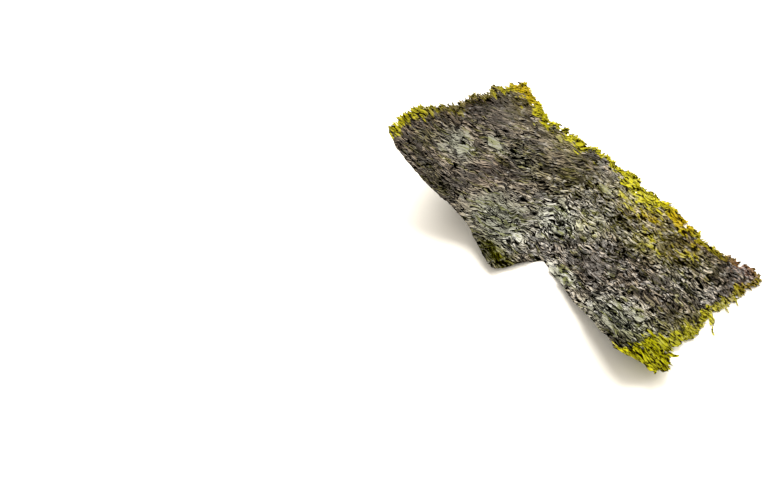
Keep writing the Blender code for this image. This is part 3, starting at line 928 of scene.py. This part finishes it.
def roasted_laver():
    """Roasted, oiled laver, pressed and dried on a mat. Its flakes are flat, each of one tone, with thin
    creases and gaps of painted shade between them, and painted shade in the valleys of its wrinkles. The
    oil gives the flakes a low sheen and the creases none. The body is from black green to violet brown,
    with a painted, blue-tinged grey sheen on its lively flakes. Where it is one flake thick, light comes
    through it yellow green, or orange and brown where it was roasted more."""
    material = bpy.data.materials.new("roasted laver")
    material.use_nodes = True
    tree = material.node_tree
    tree.nodes.clear()
    place = node(tree, "ShaderNodeTexCoord", (), "Object")
    names = ("thin", "tone", "life", "rough", "grey_sheen", "swirl", "violet", "green", "orange", "brown")
    thin, tone, life, rough, grey_sheen, swirl, violet, green, orange, brown = (
        node(tree, "ShaderNodeAttribute", (), "Fac", attribute_name=name) for name in names
    )
    bent = flow(tree, place, swirl)

    # wrinkles, with painted shade in their valleys and painted light on their ridges, with scratches and
    # lighter and darker stretches
    wrinkles = grain(tree, bent, WRINKLE_SCALE, WRINKLE_DETAIL)
    crisp, strokes, broad = (
        node(tree, RANGE, {0: noise, 1: first, 2: last})
        for noise, (first, last) in (
            (wrinkles, WRINKLE_LEVELS),
            (grain(tree, bent, STROKE_SCALE), STROKE_LEVELS),
            (grain(tree, bent, BROAD_SCALE), BROAD_LEVELS),
        )
    )

    # flecks side by side, each tilted in its own way, with painted shade in the thin gaps between them
    space = node(tree, MAPPING, {"Vector": bent, "Scale": FLECK_SCALE})
    fleck = node(tree, CELLS, {"Vector": space, "Scale": 1.0}, None)
    fleck_lot = node(tree, SPLIT, {0: fleck.outputs["Color"]})
    mossy = node(tree, SPLIT, {0: fleck.outputs["Color"]}, 1)
    lean = node(tree, VECTOR_MATH, {0: fleck.outputs["Color"], 1: GREY}, operation="SUBTRACT")
    away = node(tree, VECTOR_MATH, {0: space, 1: fleck.outputs["Position"]}, operation="SUBTRACT")
    facet = node(tree, VECTOR_MATH, {0: away, 1: lean}, "Value", operation="DOT_PRODUCT")
    border = node(tree, CELLS, {"Vector": space, "Scale": 1.0}, feature="DISTANCE_TO_EDGE")

    # the painted shade in the gaps and creases is darker where the sheet is lively
    shade_depth = node(tree, RANGE, dict(enumerate((life, *CREASE_LIFE, *CREASE_SHADE_DEPTH))))
    gap = node(tree, RANGE, dict(enumerate((border, *FLECK_GAP_SHADE, shade_depth, 0.0))))
    nearest, layered = folds_of(tree, bent)
    line = node(tree, RANGE, dict(enumerate((nearest, *CREASE_WIDTH, shade_depth, 0.0))))

    # the level is the lightness plus the pattern times its strength: 0 in the darkest painted shade of a
    # crease, 1 on a light flake
    pattern = PATTERN_BASE
    for part, weight in (
        (crisp, 0.25), (strokes, 0.3), (fleck_lot, 0.1), (broad, 0.2), (gap, -0.2), (line, -1.0),
        (shade_depth, 0.18), (layered, 0.6),
    ):
        pattern = node(tree, MATH, {0: part, 1: weight, 2: pattern}, operation="MULTIPLY_ADD")
    level = node(tree, MATH, {0: pattern, 1: life, 2: tone}, operation="MULTIPLY_ADD")
    body = node(tree, RAMP, {0: level}, stops=BODY_STOPS)
    mossy = node(tree, RANGE, dict(enumerate((mossy, *MOSSY_LEVELS, 0.0, MOSSY_STRENGTH))))
    for code, share in (
        (MOSS, mossy), (SHEEN_GREY, grey_sheen), (VIOLET_BROWN, violet), (BODY_GREEN, green), (BODY_BROWN, brown),
    ):
        body = node(tree, MIX, {0: share, 6: body, 7: linear(code)}, 2, **TINT)

    # the thin border has the same creases as veins, in a leaf that light comes through
    veins = VEIN_BASE
    for part, weight in ((crisp, 0.45), (strokes, 0.45), (broad, 0.3), (tone, 0.5), (line, -0.6)):
        veins = node(tree, MATH, {0: part, 1: weight, 2: veins}, operation="MULTIPLY_ADD")
    leaf = node(tree, RAMP, {0: veins}, stops=LEAF_STOPS)
    for code, share in ((LEAF_GREEN, green), (LEAF_ORANGE, orange), (LEAF_BROWN, brown)):
        leaf = node(tree, MIX, {0: share, 6: leaf, 7: linear(code)}, 2, **TINT)
    colour = node(tree, MIX, {0: thin, 6: body, 7: leaf}, 2, data_type="RGBA")

    # the creases and the thin border are too rough to shine, and the oiled flakes have a low gloss
    dull_share = node(tree, RANGE, dict(enumerate((level, *DULL_LEVELS, 1.0, 0.0))))
    dull_leaf = node(tree, MATH, {0: thin, 1: LEAF_DULL}, operation="MULTIPLY")
    dull_share = node(tree, MATH, {0: dull_share, 1: dull_leaf}, operation="MAXIMUM")
    height = node(tree, MATH, {0: facet, 1: FACET_HEIGHT, 2: wrinkles}, operation="MULTIPLY_ADD")
    strength = node(tree, "ShaderNodeClamp", {0: life})
    bumped = {"Height": height, "Strength": strength, "Distance": BUMP_HEIGHT}
    normal = node(tree, "ShaderNodeBump", bumped)
    oiled = {"Base Color": colour, "Roughness": rough, "IOR": OIL_IOR, "Normal": normal}
    oiled = node(tree, "ShaderNodeBsdfPrincipled", oiled)
    dull = node(tree, "ShaderNodeBsdfDiffuse", {"Color": colour, "Normal": normal})
    lit = node(tree, "ShaderNodeMixShader", {0: dull_share, 1: oiled, 2: dull})
    through = node(tree, "ShaderNodeBsdfTranslucent", {"Color": colour})
    share = node(tree, MATH, {0: thin, 1: SEE_THROUGH}, operation="MULTIPLY")
    surface = node(tree, "ShaderNodeMixShader", {0: share, 1: lit, 2: through})
    node(tree, "ShaderNodeOutputMaterial", {"Surface": surface}, None)
    return material


def pale_table():
    """Matt white painted board: a thin film of paint, which shows no grain at this size."""
    material = bpy.data.materials.new("matt white paint")
    material.use_nodes = True
    shader = material.node_tree.nodes["Principled BSDF"]
    shader.inputs["Base Color"].default_value = linear(TABLE_WHITE)
    shader.inputs["Roughness"].default_value = TABLE_ROUGH
    return material


laver = roasted_laver()
sheet = seaweed_sheet()
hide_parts("seaweed_sheet")
pieces = [sheet, broad_flakes(), border_shreds()]
for piece in pieces:
    piece.data.materials.append(laver)
    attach(piece, "root")

corners = [(-1, -1), (1, -1), (1, 1), (-1, 1)]
table_mesh = bpy.data.meshes.new("table")
table_mesh.from_pydata([(a * TABLE_HALF, b * TABLE_HALF, 0) for a, b in corners], [], [(0, 1, 2, 3)])
table = bpy.data.objects.new("table", table_mesh)
table.data.materials.append(pale_table())
bpy.context.scene.collection.objects.link(table)

world = bpy.data.worlds.new("white room")
world.use_nodes = True
world.node_tree.nodes["Background"].inputs["Color"].default_value = linear(ROOM_COLOUR)
world.node_tree.nodes["Background"].inputs["Strength"].default_value = ROOM_STRENGTH
bpy.context.scene.world = world
for name, shine, energy in LAMPS:
    lamp = bpy.data.lights.new(name, "SUN")
    lamp.energy = energy
    lamp.angle = LAMP_ANGLE
    lamp.color = linear(LAMP_COLOUR)[:3]
    sun = bpy.data.objects.new(name, lamp)
    sun.rotation_euler = Vector(shine).to_track_quat("-Z", "Y").to_euler()
    bpy.context.scene.collection.objects.link(sun)

camera_data = bpy.data.cameras.new("camera")
camera_data.lens = CAMERA_LENS
camera_data.sensor_width = CAMERA_SENSOR
camera_data.clip_start = CAMERA_CLIP
camera = bpy.data.objects.new("camera", camera_data)
camera.location = CAMERA_PLACE
camera.rotation_euler = (CAMERA_AIM - CAMERA_PLACE).to_track_quat("-Z", "Y").to_euler()
bpy.context.scene.collection.objects.link(camera)
bpy.context.scene.camera = camera
bpy.context.scene.view_settings.view_transform = "Standard"
